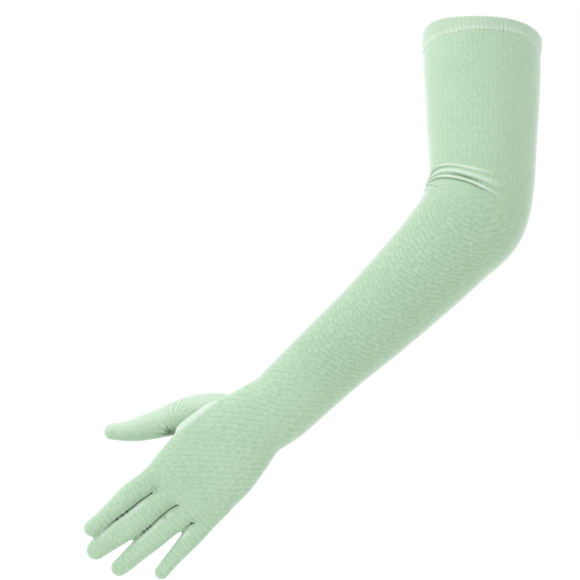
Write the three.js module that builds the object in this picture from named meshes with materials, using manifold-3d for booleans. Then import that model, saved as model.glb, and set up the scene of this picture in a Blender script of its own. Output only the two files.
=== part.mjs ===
// A long glove of stretch tulle for the left hand, shown as it is when it is worn, with the elbow bent.
// Millimetres, +Z up. The origin is the middle of the arm opening. A viewer who sees the back of the
// hand looks along +Y, with +X to the right, so the palm side is +Y.

import * as THREE from 'three';
import { mergeVertices } from 'three/addons/utils/BufferGeometryUtils.js';
import Module from 'manifold-3d';

const wasm = await Module();
wasm.setup();

// Cloth
const WALL = 1.2;
const SEAM_GAP = 0.3;
const HEM_HEIGHT = 11.5;
const HEM_PROUD = 0.9;

// The sleeve and the hand, a row for each section from the rim down to the finger roots. Width runs
// across the view, depth from back to palm, and a corner above 2 makes the oval boxier.
const SECTIONS = [
  { name: 'rim', x: 0, y: 0, z: 0, width: 95.5, depth: 82, corner: 2 },
  { name: 'upper arm', x: -0.8, y: -9, z: -27, width: 95, depth: 82, corner: 2 },
  { name: 'biceps', x: -1.1, y: -17, z: -52, width: 92, depth: 81, corner: 2 },
  { name: 'lower biceps', x: -2, y: -25.5, z: -76.8, width: 88.9, depth: 80, corner: 2 },
  { name: 'above elbow', x: -2.6, y: -33.5, z: -101.5, width: 85.6, depth: 79, corner: 2 },
  { name: 'elbow crook', x: -3.7, y: -39, z: -121.7, width: 83.8, depth: 78, corner: 2 },
  { name: 'elbow', x: -10.6, y: -42, z: -145.8, width: 85.7, depth: 78, corner: 2 },
  { name: 'under elbow', x: -30.8, y: -41, z: -170.4, width: 78.5, depth: 74, corner: 2 },
  { name: 'forearm top', x: -57.6, y: -39, z: -198.3, width: 73, depth: 69, corner: 2 },
  { name: 'forearm', x: -88.3, y: -37, z: -228.3, width: 67.1, depth: 62, corner: 2 },
  { name: 'forearm low', x: -119.4, y: -35.5, z: -256.3, width: 62.5, depth: 55, corner: 2.1 },
  { name: 'above wrist', x: -143, y: -35, z: -278.3, width: 60, depth: 48, corner: 2.2 },
  { name: 'wrist', x: -166.2, y: -35, z: -299.9, width: 58.2, depth: 42, corner: 2.3 },
  { name: 'hand root', x: -184.6, y: -35, z: -311.4, width: 59.6, depth: 38, corner: 2.3 },
  { name: 'heel', x: -200, y: -34.5, z: -325.3, width: 68.6, depth: 35, corner: 2.4 },
  { name: 'palm', x: -216.5, y: -34, z: -341.5, width: 75.2, depth: 33, corner: 2.5 },
  { name: 'knuckles', x: -229, y: -33, z: -354.4, width: 74.6, depth: 31, corner: 2.5 },
  { name: 'finger roots', x: -248.8, y: -32, z: -377.6, width: 72, depth: 25, corner: 2.6 },
];

// The fingers bend a little towards the palm, by this much at their reach past the finger roots.
const FINGER_CURL = 13;
const FINGER_REACH = 90;

// A finger is wider at its web, as far as a share of its length, and narrows towards its tip.
const WEB = { wider: 2.8, from: 0.12, until: 0.29 };
const TAPER_FROM = 0.45;

// Each finger from a root inside the palm, through its middle, to its tip. Width is across the view.
const FINGERS = [
  { name: 'index', root: [-253.2, -345.6], middle: [-292.6, -376.6], tip: [-320, -401.8],
    width: 17.8, depth: 17, tipWidth: 13.4, tipDepth: 12.5 },
  { name: 'middle', root: [-240.5, -358.6], middle: [-287.6, -395.9], tip: [-320, -421.2],
    width: 18.8, depth: 17.5, tipWidth: 14.6, tipDepth: 13.5 },
  { name: 'ring', root: [-222.7, -367.5], middle: [-268.6, -406.5], tip: [-299.3, -433.7],
    width: 17.4, depth: 16.5, tipWidth: 13.4, tipDepth: 12.5 },
  { name: 'little', root: [-211, -379], middle: [-244.3, -415.8], tip: [-262.2, -437],
    width: 15.6, depth: 14.5, tipWidth: 12, tipDepth: 11 },
];

// The thumb, from inside the heel of the hand to its tip, behind the hand's edge.
const THUMB_SECTIONS = [
  { x: -201, y: -31, z: -304, width: 26, depth: 20 },
  { x: -214, y: -27, z: -302, width: 28, depth: 23 },
  { x: -227, y: -23, z: -303.2, width: 28.4, depth: 23 },
  { x: -240, y: -20.5, z: -306, width: 26.6, depth: 22 },
  { x: -255.1, y: -19, z: -311.2, width: 23.4, depth: 20 },
  { x: -270.5, y: -18, z: -315.8, width: 20.4, depth: 18 },
  { x: -286, y: -18, z: -319.3, width: 15.6, depth: 14.5 },
  { x: -297.5, y: -18, z: -319.9, width: 11.4, depth: 11 },
];
const THUMB_TIP = { x: -306.8, y: -18, z: -319.6 };

// The folds in the crook of the elbow. Each starts on the inner edge at a distance from the rim and
// fans down the arm as it runs towards the back, as far as its reach in degrees round the arm. It
// fades out over the last degrees, and starts at a share of its height.
const ELBOW_FOLDS = [
  { start: 120.5, fan: 2.5, height: 1.7, spread: 1.7, reach: 95 },
  { start: 122.3, fan: 3.8, height: 1.9, spread: 1.8, reach: 118 },
  { start: 125, fan: 5.5, height: 1.7, spread: 1.8, reach: 108 },
  { start: 131.5, fan: 6, height: 0.9, spread: 1.7, reach: 45 },
];
const FOLD_FADE = 30;
const FOLD_REACH_BEHIND = 40;
const FOLD_START = { share: 0.45, until: 25 };

// How fine the rings are along the arm, and round each tube
const ARM_STEPS = [
  { until: 116, step: 26 },
  { until: 146, step: 3.4 },
  { until: 190, step: 13 },
  { until: 366, step: 30 },
  { until: 480, step: 15 },
];
const ARM_SIDES = 26;
const CURVE_DIVISIONS = 900;
const FINGER_SIDES = 12;
const FINGER_RINGS = 5;
const THUMB_SIDES = 14;
const THUMB_RINGS = 7;
const DOME_RINGS = 3;

// The back and palm panels are divided across the limb at the elbow, the wrist and the knuckles, at
// these distances from the rim. The real panels run on there: shorter solids let collision follow the
// hollow sleeve.
const STRETCHES = [
  { name: 'upper_arm', until: 150 },
  { name: 'forearm', from: 150, until: 303 },
  { name: 'hand', from: 303, until: 474 },
  { name: 'fingers', from: 474 },
];

// The cutters: how far they reach past what they cut, and the half width and steps of the seam's
const CUT_PAST = 6;
const SEAM_HALF_WIDTH = 50;
const SEAM_STEP = 21;

const TULLE_COLOUR = 0xbedec0;
const HEM_COLOUR = 0xc8e8cd;

const spine = new THREE.CatmullRomCurve3(
  SECTIONS.map((row) => new THREE.Vector3(row.x, row.y, row.z)),
  false,
  'centripetal',
);
spine.arcLengthDivisions = CURVE_DIVISIONS;
const sleeveSizes = new THREE.CatmullRomCurve3(
  SECTIONS.map((row) => new THREE.Vector3(row.width, row.depth, row.corner)),
);
const ARM_LENGTH = spine.getLength();

// Where a curve is at a distance along it, and which ways are down the limb, across it and palmwards.
// Past either end the curve runs straight on.
function frameAt(curve, distance) {
  const inside = THREE.MathUtils.clamp(distance, 0, curve.getLength());
  const t = curve.getUtoTmapping(0, inside);
  const along = curve.getTangent(t).normalize();
  const across = new THREE.Vector3(-along.z, 0, along.x).normalize();
  const palmwards = new THREE.Vector3().crossVectors(across, along);
  const centre = curve.getPoint(t).addScaledVector(along, distance - inside);
  return { t, along, across, palmwards, centre };
}

// How far the cloth of the elbow's crook stands out, at a distance from the rim and an angle round the
// arm. The angle is 0 on the inner edge and grows towards the back of the arm.
function foldHeight(distance, angle) {
  let height = 0;
  for (const fold of ELBOW_FOLDS) {
    const middle = fold.start + fold.fan * angle * angle;
    const offset = (distance - middle) / fold.spread;
    const degrees = THREE.MathUtils.radToDeg(angle);
    const reach = degrees > 0 ? fold.reach : FOLD_REACH_BEHIND;
    const fade = 1 - THREE.MathUtils.smoothstep(Math.abs(degrees), reach - FOLD_FADE, reach);
    const rise = THREE.MathUtils.smoothstep(degrees, 0, FOLD_START.until);
    const low = THREE.MathUtils.lerp(FOLD_START.share, 1, rise);
    height = Math.max(height, fold.height * fade * low * Math.exp(-offset * offset));
  }
  return height;
}

// A closed tube: a lathed profile of unit radius whose points are then put in place by a function of
// the distance along the tube and the two unit coordinates of the section.
function loft(profile, sides, place) {
  const lathe = new THREE.LatheGeometry(profile.map(([r, d]) => new THREE.Vector2(r, d)), sides);
  lathe.deleteAttribute('normal');
  lathe.deleteAttribute('uv');
  const geometry = mergeVertices(lathe, 1e-6);
  const position = geometry.getAttribute('position');
  const point = new THREE.Vector3();
  for (let i = 0; i < position.count; i += 1) {
    point.fromBufferAttribute(position, i);
    point.copy(place(point.y, point.x, point.z));
    position.setXYZ(i, point.x, point.y, point.z);
  }
  return toSolid(geometry);
}

// The solid of a closed mesh, with empty triangles at the poles left out and its faces pointing out
function toSolid(geometry) {
  const position = geometry.getAttribute('position');
  const corners = geometry.getIndex().array;
  const triangles = [];
  for (let i = 0; i < corners.length; i += 3) {
    const [a, b, c] = corners.slice(i, i + 3);
    if (a !== b && b !== c && c !== a) {
      triangles.push([a, b, c]);
    }
  }
  const [p, q, r] = [new THREE.Vector3(), new THREE.Vector3(), new THREE.Vector3()];
  let volume = 0;
  for (const [a, b, c] of triangles) {
    p.fromBufferAttribute(position, a);
    q.fromBufferAttribute(position, b);
    r.fromBufferAttribute(position, c);
    volume += p.dot(q.cross(r));
  }
  const outward = volume > 0 ? triangles : triangles.map(([a, b, c]) => [a, c, b]);
  return new wasm.Manifold(new wasm.Mesh({
    numProp: 3,
    vertProperties: new Float32Array(position.array),
    triVerts: new Uint32Array(outward.flat()),
  }));
}

// An oval section's point: unit coordinates stretched to a size, boxier as the corner grows
function ovalPoint(frame, u, v, size, grow, lift) {
  const radius = Math.hypot(u, v);
  if (radius === 0) {
    return frame.centre;
  }
  const power = 2 / size.z;
  const a = Math.sign(u) * Math.abs(u / radius) ** power * radius;
  const b = Math.sign(v) * Math.abs(v / radius) ** power * radius;
  return frame.centre
    .addScaledVector(frame.across, a * (size.x / 2 + grow + lift))
    .addScaledVector(frame.palmwards, b * (size.y / 2 + grow + lift));
}

// The distances of the rings from one end of the arm's curve to the other
function armDistances(from, to) {
  const distances = [from];
  let here = 0;
  for (const { until, step } of ARM_STEPS) {
    const count = Math.ceil((until - here) / step);
    for (let i = 1; i <= count; i += 1) {
      const distance = here + (until - here) * (i / count);
      if (distance > from + step / 3 && distance < to - step / 3) {
        distances.push(distance);
      }
    }
    here = until;
  }
  distances.push(to);
  return distances;
}

// The arm and palm as one volume between two distances from the rim, grown by a margin. Where it ends
// at the finger roots, that end is rounded off.
function sleeveVolume(from, to, grow) {
  const rounded = to === ARM_LENGTH;
  const halfDepth = sleeveSizes.getPoint(1).y / 2;
  const flatEnd = rounded ? ARM_LENGTH - halfDepth : to;
  const round = rounded ? halfDepth + grow : 0;
  const profile = [[0, from]];
  for (const distance of armDistances(from, flatEnd)) {
    profile.push([1, distance]);
  }
  for (let i = 1; i <= DOME_RINGS && rounded; i += 1) {
    const turn = (i / (DOME_RINGS + 1)) * (Math.PI / 2);
    profile.push([Math.cos(turn), flatEnd + round * Math.sin(turn)]);
  }
  profile.push([0, flatEnd + round]);
  return loft(profile, ARM_SIDES, (distance, u, v) => {
    const frame = frameAt(spine, distance);
    const size = sleeveSizes.getPoint(frame.t);
    if (distance <= flatEnd) {
      return ovalPoint(frame, u, v, size, grow, foldHeight(distance, Math.atan2(-v, -u)));
    }
    // Over the rounded end the section narrows by the same amount all round, so it stays wide.
    const ring = Math.hypot(u, v);
    const side = ring > 0 ? 1 / ring : 0;
    return ovalPoint(frame, u * side, v * side, size, grow - round * (1 - ring), 0);
  });
}

// How far palmwards a finger lies at a place past the finger roots
const knuckleEnd = spine.getPoint(1);
const handWay = spine.getTangent(1).setY(0).normalize();

function fingerPoint([x, z]) {
  const past = (x - knuckleEnd.x) * handWay.x + (z - knuckleEnd.z) * handWay.z;
  const reach = Math.max(0, past) / FINGER_REACH;
  return new THREE.Vector3(x, knuckleEnd.y + FINGER_CURL * reach * reach, z);
}

// A tube with a round tip along a curve, whose width and depth at a share of its length come from a
// function. The share is 0 at the root.
function fingerVolume(curve, sizeAt, sides, rings, grow) {
  const length = curve.getLength();
  const dome = sizeAt(1).y / 2 + grow;
  const straight = length + grow - dome;
  const profile = [[0, 0]];
  for (let i = 0; i <= rings; i += 1) {
    profile.push([1, straight * (i / rings)]);
  }
  for (let i = 1; i <= DOME_RINGS; i += 1) {
    const turn = (i / (DOME_RINGS + 1)) * (Math.PI / 2);
    profile.push([Math.cos(turn), straight + dome * Math.sin(turn)]);
  }
  profile.push([0, straight + dome]);
  return loft(profile, sides, (distance, u, v) => {
    const frame = frameAt(curve, distance);
    const size = sizeAt(Math.min(1, distance / length));
    return frame.centre
      .addScaledVector(frame.across, u * (size.x / 2 + grow))
      .addScaledVector(frame.palmwards, v * (size.y / 2 + grow));
  });
}

function oneFinger(finger, grow) {
  const points = [finger.root, finger.middle, finger.tip].map(fingerPoint);
  const curve = new THREE.CatmullRomCurve3(points, false, 'centripetal');
  const full = new THREE.Vector2(finger.width, finger.depth);
  const narrow = new THREE.Vector2(finger.tipWidth, finger.tipDepth);
  const sizeAt = (share) => {
    const size = full.clone().lerp(narrow, THREE.MathUtils.smoothstep(share, TAPER_FROM, 1));
    size.x += WEB.wider * (1 - THREE.MathUtils.smoothstep(share, WEB.from, WEB.until));
    return size;
  };
  return fingerVolume(curve, sizeAt, FINGER_SIDES, FINGER_RINGS, grow);
}

function thumbVolume(grow) {
  const ends = [...THUMB_SECTIONS, THUMB_TIP];
  const points = ends.map((row) => new THREE.Vector3(row.x, row.y, row.z));
  const curve = new THREE.CatmullRomCurve3(points, false, 'centripetal');
  const sizes = new THREE.SplineCurve(
    THUMB_SECTIONS.map((row) => new THREE.Vector2(row.width, row.depth)),
  );
  return fingerVolume(curve, (share) => sizes.getPoint(share), THUMB_SIDES, THUMB_RINGS, grow);
}

// The arm, palm and four fingers as one volume, from a distance below the rim
function gloveVolume(from, grow) {
  return FINGERS.reduce(
    (volume, finger) => volume.add(oneFinger(finger, grow)),
    sleeveVolume(from, ARM_LENGTH, grow),
  );
}

// The line down the middle of the side seams, which runs on past the finger roots to beyond the tips
const seamLine = new THREE.CatmullRomCurve3(
  [
    ...SECTIONS.map((row) => new THREE.Vector3(row.x, row.y, row.z)),
    ...[0.3, 0.6, 0.9, 1.2].map((reach) => fingerPoint([
      knuckleEnd.x + handWay.x * reach * FINGER_REACH,
      knuckleEnd.z + handWay.z * reach * FINGER_REACH,
    ])),
  ],
  false,
  'centripetal',
);
seamLine.arcLengthDivisions = CURVE_DIVISIONS;

// All that lies on the back's side of the seams, up to an edge that stands palmwards of their middle
function backSide(edge) {
  const span = seamLine.getLength();
  const steps = Math.round(span / SEAM_STEP);
  const box = new THREE.BoxGeometry(1, 1, 1, 1, 1, steps);
  box.deleteAttribute('normal');
  box.deleteAttribute('uv');
  const geometry = mergeVertices(box, 1e-6);
  const position = geometry.getAttribute('position');
  for (let i = 0; i < position.count; i += 1) {
    const frame = frameAt(seamLine, span * (position.getZ(i) + 0.5));
    const point = frame.centre
      .addScaledVector(frame.across, position.getX(i) * 2 * SEAM_HALF_WIDTH)
      .addScaledVector(frame.palmwards, edge + SEAM_HALF_WIDTH * (position.getY(i) - 0.5));
    position.setXYZ(i, point.x, point.y, point.z);
  }
  return toSolid(geometry);
}

// The part of a solid between two distances from the rim, with half a gap left at each cut
function stretchOf(solid, { from, until }) {
  let rest = solid;
  for (const [distance, side] of [[from, 1], [until, -1]]) {
    if (distance !== undefined) {
      const { along, centre } = frameAt(spine, distance);
      along.multiplyScalar(side);
      rest = rest.trimByPlane(along.toArray(), along.dot(centre) + SEAM_GAP / 2);
    }
  }
  return rest;
}

function toMesh(name, solid, colour) {
  const { vertProperties, triVerts } = solid.getMesh();
  const geometry = new THREE.BufferGeometry();
  geometry.setAttribute('position', new THREE.BufferAttribute(vertProperties, 3));
  geometry.setIndex(new THREE.BufferAttribute(triVerts, 1));
  geometry.computeVertexNormals();
  const material = new THREE.MeshStandardMaterial({ color: colour, roughness: 0.85, metalness: 0 });
  const mesh = new THREE.Mesh(geometry, material);
  mesh.name = name;
  return mesh;
}

function makeHemBand() {
  const outside = sleeveVolume(0, HEM_HEIGHT, HEM_PROUD);
  const inside = sleeveVolume(-CUT_PAST, HEM_HEIGHT + CUT_PAST, -WALL);
  return toMesh('hem_band', outside.subtract(inside), HEM_COLOUR);
}

// The cloth of the sleeve and hand, hollow, from under the hem down, with the thumb's hole in it
function makeSleeveCloth() {
  const outside = gloveVolume(HEM_HEIGHT + SEAM_GAP, 0);
  const inside = gloveVolume(0, -WALL);
  return outside.subtract(inside).subtract(thumbVolume(-WALL));
}

// The set-in thumb: a hollow tube that ends all round where it meets the hand
function makeThumb() {
  const tube = thumbVolume(0).subtract(thumbVolume(-WALL));
  return toMesh('thumb', tube.subtract(gloveVolume(0, SEAM_GAP)), TULLE_COLOUR);
}

const glove = new THREE.Group();
glove.name = 'long_tulle_glove';
glove.add(makeHemBand());
const cloth = makeSleeveCloth();
const back = cloth.intersect(backSide(-SEAM_GAP / 2));
const palm = cloth.subtract(backSide(SEAM_GAP / 2));
for (const stretch of STRETCHES) {
  glove.add(toMesh(`${stretch.name}_back`, stretchOf(back, stretch), TULLE_COLOUR));
  glove.add(toMesh(`${stretch.name}_palm`, stretchOf(palm, stretch), TULLE_COLOUR));
}
glove.add(makeThumb());

export default glove;
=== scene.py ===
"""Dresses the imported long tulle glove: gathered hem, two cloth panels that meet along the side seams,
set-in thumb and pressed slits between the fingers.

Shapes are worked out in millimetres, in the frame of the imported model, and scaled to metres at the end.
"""

import logging
import math
from collections.abc import Callable, Iterator, Sequence
from dataclasses import dataclass
from enum import Enum
from typing import NamedTuple

import bmesh
import bpy
import numpy as np
from mathutils import Matrix, Vector, kdtree, noise
from mathutils.bvhtree import BVHTree


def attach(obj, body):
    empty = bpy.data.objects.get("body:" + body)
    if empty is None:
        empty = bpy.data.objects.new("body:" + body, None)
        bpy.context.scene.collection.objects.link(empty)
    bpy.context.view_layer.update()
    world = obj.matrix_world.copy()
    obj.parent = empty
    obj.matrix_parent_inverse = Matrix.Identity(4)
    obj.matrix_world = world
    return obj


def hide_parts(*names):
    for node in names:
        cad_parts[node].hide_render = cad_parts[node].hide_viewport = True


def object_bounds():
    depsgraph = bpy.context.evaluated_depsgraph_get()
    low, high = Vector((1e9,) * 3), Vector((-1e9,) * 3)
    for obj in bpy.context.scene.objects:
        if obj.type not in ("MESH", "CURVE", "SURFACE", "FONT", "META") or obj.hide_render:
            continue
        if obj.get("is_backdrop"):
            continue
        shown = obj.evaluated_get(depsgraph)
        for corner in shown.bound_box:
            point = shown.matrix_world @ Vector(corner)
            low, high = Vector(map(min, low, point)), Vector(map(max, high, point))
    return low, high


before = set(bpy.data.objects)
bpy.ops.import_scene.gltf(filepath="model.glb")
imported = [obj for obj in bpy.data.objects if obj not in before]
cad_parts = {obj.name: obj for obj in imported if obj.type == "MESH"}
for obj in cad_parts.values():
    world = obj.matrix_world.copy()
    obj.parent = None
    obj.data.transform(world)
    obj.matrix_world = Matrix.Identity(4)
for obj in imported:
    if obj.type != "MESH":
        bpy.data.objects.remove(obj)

log = logging.getLogger("long_tulle_glove")

MM = 0.001
BODY = "root"

# The limb from the rim down to the finger roots: x, y, z, width, depth and how boxy the oval is
SECTIONS = (
    (0, 0, 0, 95.5, 82, 2),
    (-0.8, -9, -27, 95, 82, 2),
    (-1.1, -17, -52, 92, 81, 2),
    (-2, -25.5, -76.8, 88.9, 80, 2),
    (-2.6, -33.5, -101.5, 85.6, 79, 2),
    (-3.7, -39, -121.7, 83.8, 78, 2),
    (-10.6, -42, -145.8, 85.7, 78, 2),
    (-30.8, -41, -170.4, 78.5, 74, 2),
    (-57.6, -39, -198.3, 73, 69, 2),
    (-88.3, -37, -228.3, 67.1, 62, 2),
    (-119.4, -35.5, -256.3, 62.5, 55, 2.1),
    (-143, -35, -278.3, 60, 48, 2.2),
    (-166.2, -35, -299.9, 58.2, 42, 2.3),
    (-184.6, -35, -311.4, 59.6, 38, 2.3),
    (-200, -34.5, -325.3, 68.6, 35, 2.4),
    (-216.5, -34, -341.5, 75.2, 33, 2.5),
    (-229, -33, -354.4, 74.6, 31, 2.5),
    (-248.8, -32, -377.6, 72, 25, 2.6),
)

# The thumb from inside the heel of the hand: x, y, z, width and depth, and its tip
THUMB_SECTIONS = (
    (-201, -31, -304, 26, 20),
    (-214, -27, -302, 28, 23),
    (-227, -23, -303.2, 28.4, 23),
    (-240, -20.5, -306, 26.6, 22),
    (-255.1, -19, -311.2, 23.4, 20),
    (-270.5, -18, -315.8, 20.4, 18),
    (-286, -18, -319.3, 15.6, 14.5),
    (-297.5, -18, -319.9, 11.4, 11),
)
THUMB_TIP = (-306.8, -18, -319.6)


def smoothstep(value: float, low: float, high: float) -> float:
    """Returns 0 below low, 1 above high and a smooth rise between them."""
    share = min(1.0, max(0.0, (value - low) / (high - low)))
    return share * share * (3 - 2 * share)


def mix(a: float, b: float, share: float) -> float:
    """Returns the value that lies a share of the way from a to b."""
    return a + (b - a) * share


class SmoothLine:
    """A centripetal Catmull-Rom curve through points, which is measured along its length."""

    DIVISIONS = 900
    NUDGE = 1e-4

    def __init__(self, points: Sequence[Sequence[float]]) -> None:
        """Measures the curve.

        Args:
            points: What the curve runs through, each a row of the same count of numbers.
        """
        self.points = np.array(points, float)
        self.shares = np.linspace(0, 1, self.DIVISIONS + 1)
        fine = np.array([self.at(share) for share in self.shares])
        steps = np.linalg.norm(np.diff(fine[:, :3], axis=0), axis=1)
        self.distances = np.concatenate([[0], np.cumsum(steps)])
        self.length = float(self.distances[-1])

    def at(self, share: float) -> np.ndarray:
        """Returns the curve's row of numbers at a share from 0 to 1 of its run of points."""
        rows = self.points
        last = len(rows) - 1
        place = min(1.0, max(0.0, share)) * last
        first = min(int(place), last - 1)
        weight = place - first
        p1, p2 = rows[first], rows[first + 1]
        p0 = rows[first - 1] if first > 0 else 2 * p1 - p2
        p3 = rows[first + 2] if first + 2 <= last else 2 * p2 - p1
        before, here, after = (np.linalg.norm(b - a) ** 0.5 for a, b in ((p0, p1), (p1, p2), (p2, p3)))
        start = (p1 - p0) / before - (p2 - p0) / (before + here) + (p2 - p1) / here
        end = (p2 - p1) / here - (p3 - p1) / (here + after) + (p3 - p2) / after
        start, end = start * here, end * here
        square = -3 * p1 + 3 * p2 - 2 * start - end
        cube = 2 * p1 - 2 * p2 + start + end
        return p1 + start * weight + square * weight**2 + cube * weight**3

    def share_at(self, distance: float) -> float:
        """Returns the share of the run of points that lies at a distance along the curve."""
        return float(np.interp(distance, self.distances, self.shares))

    def heading(self, share: float) -> Vector:
        """Returns the unit direction of the curve at a share of its run of points."""
        ahead, behind = self.at(share + self.NUDGE), self.at(share - self.NUDGE)
        return Vector(ahead[:3] - behind[:3]).normalized()


@dataclass(frozen=True)
class Frame:
    """Where a line is at a distance along it, and which ways are down the limb, across it and palmwards."""

    share: float
    centre: Vector
    along: Vector
    across: Vector
    palmwards: Vector

    def place(self, across: float, palmwards: float) -> Vector:
        """Returns the point at two distances from the line in this frame."""
        return self.centre + self.across * across + self.palmwards * palmwards


def frame_at(line: SmoothLine, distance: float) -> Frame:
    """Finds the frame of a line.

    Args:
        line: The line.
        distance: How far along it, in millimetres. Past either end the line runs straight on.

    Returns:
        The frame there.
    """
    inside = min(line.length, max(0.0, distance))
    share = line.share_at(inside)
    along = line.heading(share)
    across = Vector((-along.z, 0, along.x)).normalized()
    centre = Vector(line.at(share)[:3]) + along * (distance - inside)
    return Frame(share, centre, along, across, across.cross(along))


SPINE = SmoothLine([row[:3] for row in SECTIONS])
SPINE_SIZES = SmoothLine([row[3:] for row in SECTIONS])
KNUCKLE_END = Vector(SPINE.at(1))
HAND_WAY = Vector((SPINE.heading(1).x, 0, SPINE.heading(1).z)).normalized()
FINGER_CURL = 13
FINGER_REACH = 90


def hand_point(x: float, z: float, lift: float = 0) -> Vector:
    """Finds a point of the hand's middle surface.

    Args:
        x: The point's place across the view, in millimetres.
        z: Its height.
        lift: How far it lies in front of the surface.

    Returns:
        The point, further palmwards the further it is past the finger roots.
    """
    past = (x - KNUCKLE_END.x) * HAND_WAY.x + (z - KNUCKLE_END.z) * HAND_WAY.z
    reach = max(0.0, past) / FINGER_REACH
    return Vector((x, KNUCKLE_END.y + FINGER_CURL * reach * reach - lift, z))


class LimbMap:
    """Finds where points lie on the limb: how far down it, across it and palmwards of its middle."""

    STEP = 1.0
    PAST_ROOTS = (0.3, 0.6, 0.9, 1.2)

    def __init__(self) -> None:
        """Samples the line down the middle of the side seams, from the rim to past the fingertips."""
        ends = [
            hand_point(
                KNUCKLE_END.x + HAND_WAY.x * reach * FINGER_REACH,
                KNUCKLE_END.z + HAND_WAY.z * reach * FINGER_REACH,
            )
            for reach in self.PAST_ROOTS
        ]
        self.line = SmoothLine([row[:3] for row in SECTIONS] + [tuple(point) for point in ends])
        count = int(self.line.length / self.STEP)
        self.samples = [frame_at(self.line, i * self.STEP) for i in range(count + 1)]
        self.tree = kdtree.KDTree(len(self.samples))
        for i, sample in enumerate(self.samples):
            self.tree.insert(sample.centre, i)
        self.tree.balance()

    def locate(self, point: Vector) -> tuple[float, float, float]:
        """Returns a point's distance down the limb, across it and palmwards, in millimetres."""
        _, i, _ = self.tree.find(point)
        sample = self.samples[i]
        offset = point - sample.centre
        distance = i * self.STEP + offset.dot(sample.along)
        return distance, offset.dot(sample.across), offset.dot(sample.palmwards)


LIMB = LimbMap()


@dataclass(frozen=True)
class ElbowFold:
    """A fold in the crook of the elbow, which runs from the inner edge round towards the back.

    Its path is rows of degrees round the arm from the inner edge, and millimetres from the rim.
    """

    path: tuple[tuple[float, float], ...]
    height: float
    above: float
    below: float
    crease: float
    creased: tuple[float, float]
    # How strong the painted highlight on this fold's crest is
    painted_highlight: float

    FADE_OUT = 38
    BEHIND = 26
    CREASE_FADE = 12

    def at(self, distance: float, degrees: float) -> tuple[float, float]:
        """Works out how far the cloth stands out.

        Args:
            distance: How far down the arm, in millimetres.
            degrees: How far round from the inner edge towards the back.

        Returns:
            The fold's height there, and the depth of the crease under it.
        """
        first, last = self.path[0][0], self.path[-1][0]
        fade = 1 - smoothstep(degrees, last - self.FADE_OUT, last)
        fade *= smoothstep(degrees, -self.BEHIND, first)
        if fade <= 0:
            return 0, 0
        middle = float(np.interp(degrees, *zip(*self.path)))
        offset = distance - middle
        spread = self.above if offset < 0 else self.below
        crest = self.height * math.exp(-((offset / spread) ** 2))
        start, end = self.creased
        shut = smoothstep(degrees, start - self.CREASE_FADE, start + self.CREASE_FADE)
        shut *= 1 - smoothstep(degrees, end - self.CREASE_FADE, end + self.CREASE_FADE)
        dip = self.crease * math.exp(-(((offset - 1.7 * self.below) / (0.75 * self.below)) ** 2))
        return fade * crest, fade * shut * dip


PATH_STEPS = 40


def smoothed(*path: tuple[float, float]) -> tuple[tuple[float, float], ...]:
    """Returns a path of finer, rounded steps through the same points."""
    line = SmoothLine([(*spot, 0) for spot in path])
    fine = [line.at(i / PATH_STEPS) for i in range(PATH_STEPS + 1)]
    return tuple((float(spot[0]), float(spot[1])) for spot in fine)


FOLDS_START = 105
FOLDS_END = 170
ELBOW_FOLDS = (
    ElbowFold(
        path=smoothed(
            (2, 132), (8, 129.8), (16, 124.6), (25, 121.9), (39, 121.7), (55, 123.6), (75, 126.3), (112, 129)
        ),
        height=1.5, above=1.2, below=0.9, crease=0.5, creased=(4, 44), painted_highlight=0.75,
    ),
    ElbowFold(
        path=smoothed(
            (2, 136), (10, 134), (20, 131), (36, 128.7), (54, 128.9), (74, 131.1), (92, 133.2), (122, 136)
        ),
        height=2.1, above=2.6, below=1.0, crease=0.8, creased=(50, 82), painted_highlight=0.6,
    ),
    ElbowFold(
        path=smoothed(
            (2, 138), (14, 135.3), (26, 133), (40, 132.4), (54, 133), (70, 134.5), (86, 137), (122, 142)
        ),
        height=1.8, above=1.1, below=0.75, crease=0.8, creased=(18, 94), painted_highlight=0.85,
    ),
    ElbowFold(
        path=smoothed((2, 137.5), (12, 138.2), (24, 139.8), (42, 143.3), (66, 148)),
        height=0.9, above=1.1, below=0.9, crease=0.5, creased=(10, 40), painted_highlight=0.4,
    ),
    ElbowFold(
        path=smoothed((2, 144.5), (14, 143), (28, 141), (46, 138.6), (64, 137)),
        height=0.6, above=1.0, below=0.9, crease=0.2, creased=(20, 46), painted_highlight=0.5,
    ),
)


def fold_at(distance: float, angle: float) -> tuple[float, float]:
    """Works out the elbow's folds at a place on the arm.

    Args:
        distance: How far it is from the rim, in millimetres.
        angle: How far round the arm it is, in radians, from the inner edge towards the back.

    Returns:
        How far the cloth stands out, and its painted light: 1 for a painted highlight on a sharp crest, -1
        for painted shade in a crease.
    """
    if not FOLDS_START < distance < FOLDS_END:
        return 0, 0
    degrees = math.degrees(angle)
    rows = [(fold, *fold.at(distance, degrees)) for fold in ELBOW_FOLDS]
    up = max(rise for _, rise, _ in rows)
    down = max(dip for _, _, dip in rows) * smoothstep(degrees, 3, 13)
    # Painted highlight along the crests and painted shade in the creases under them
    highlight_paint = max(fold.painted_highlight * rise / fold.height for fold, rise, _ in rows)
    return up - down, highlight_paint * smoothstep(degrees, -2, 8) - 0.85 * down


def oval_point(place: Frame, size: Sequence[float], u: float, v: float, grow: float) -> Vector:
    """Finds a point of an oval section.

    Args:
        place: The section's frame.
        size: Its width, depth and boxiness.
        u: The unit coordinate across the limb.
        v: The unit coordinate palmwards.
        grow: How far the point stands out from the oval.

    Returns:
        The point.
    """
    power = 2 / size[2]
    across = math.copysign(abs(u) ** power, u) * (size[0] / 2 + grow)
    palmwards = math.copysign(abs(v) ** power, v) * (size[1] / 2 + grow)
    return place.place(across, palmwards)


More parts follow.
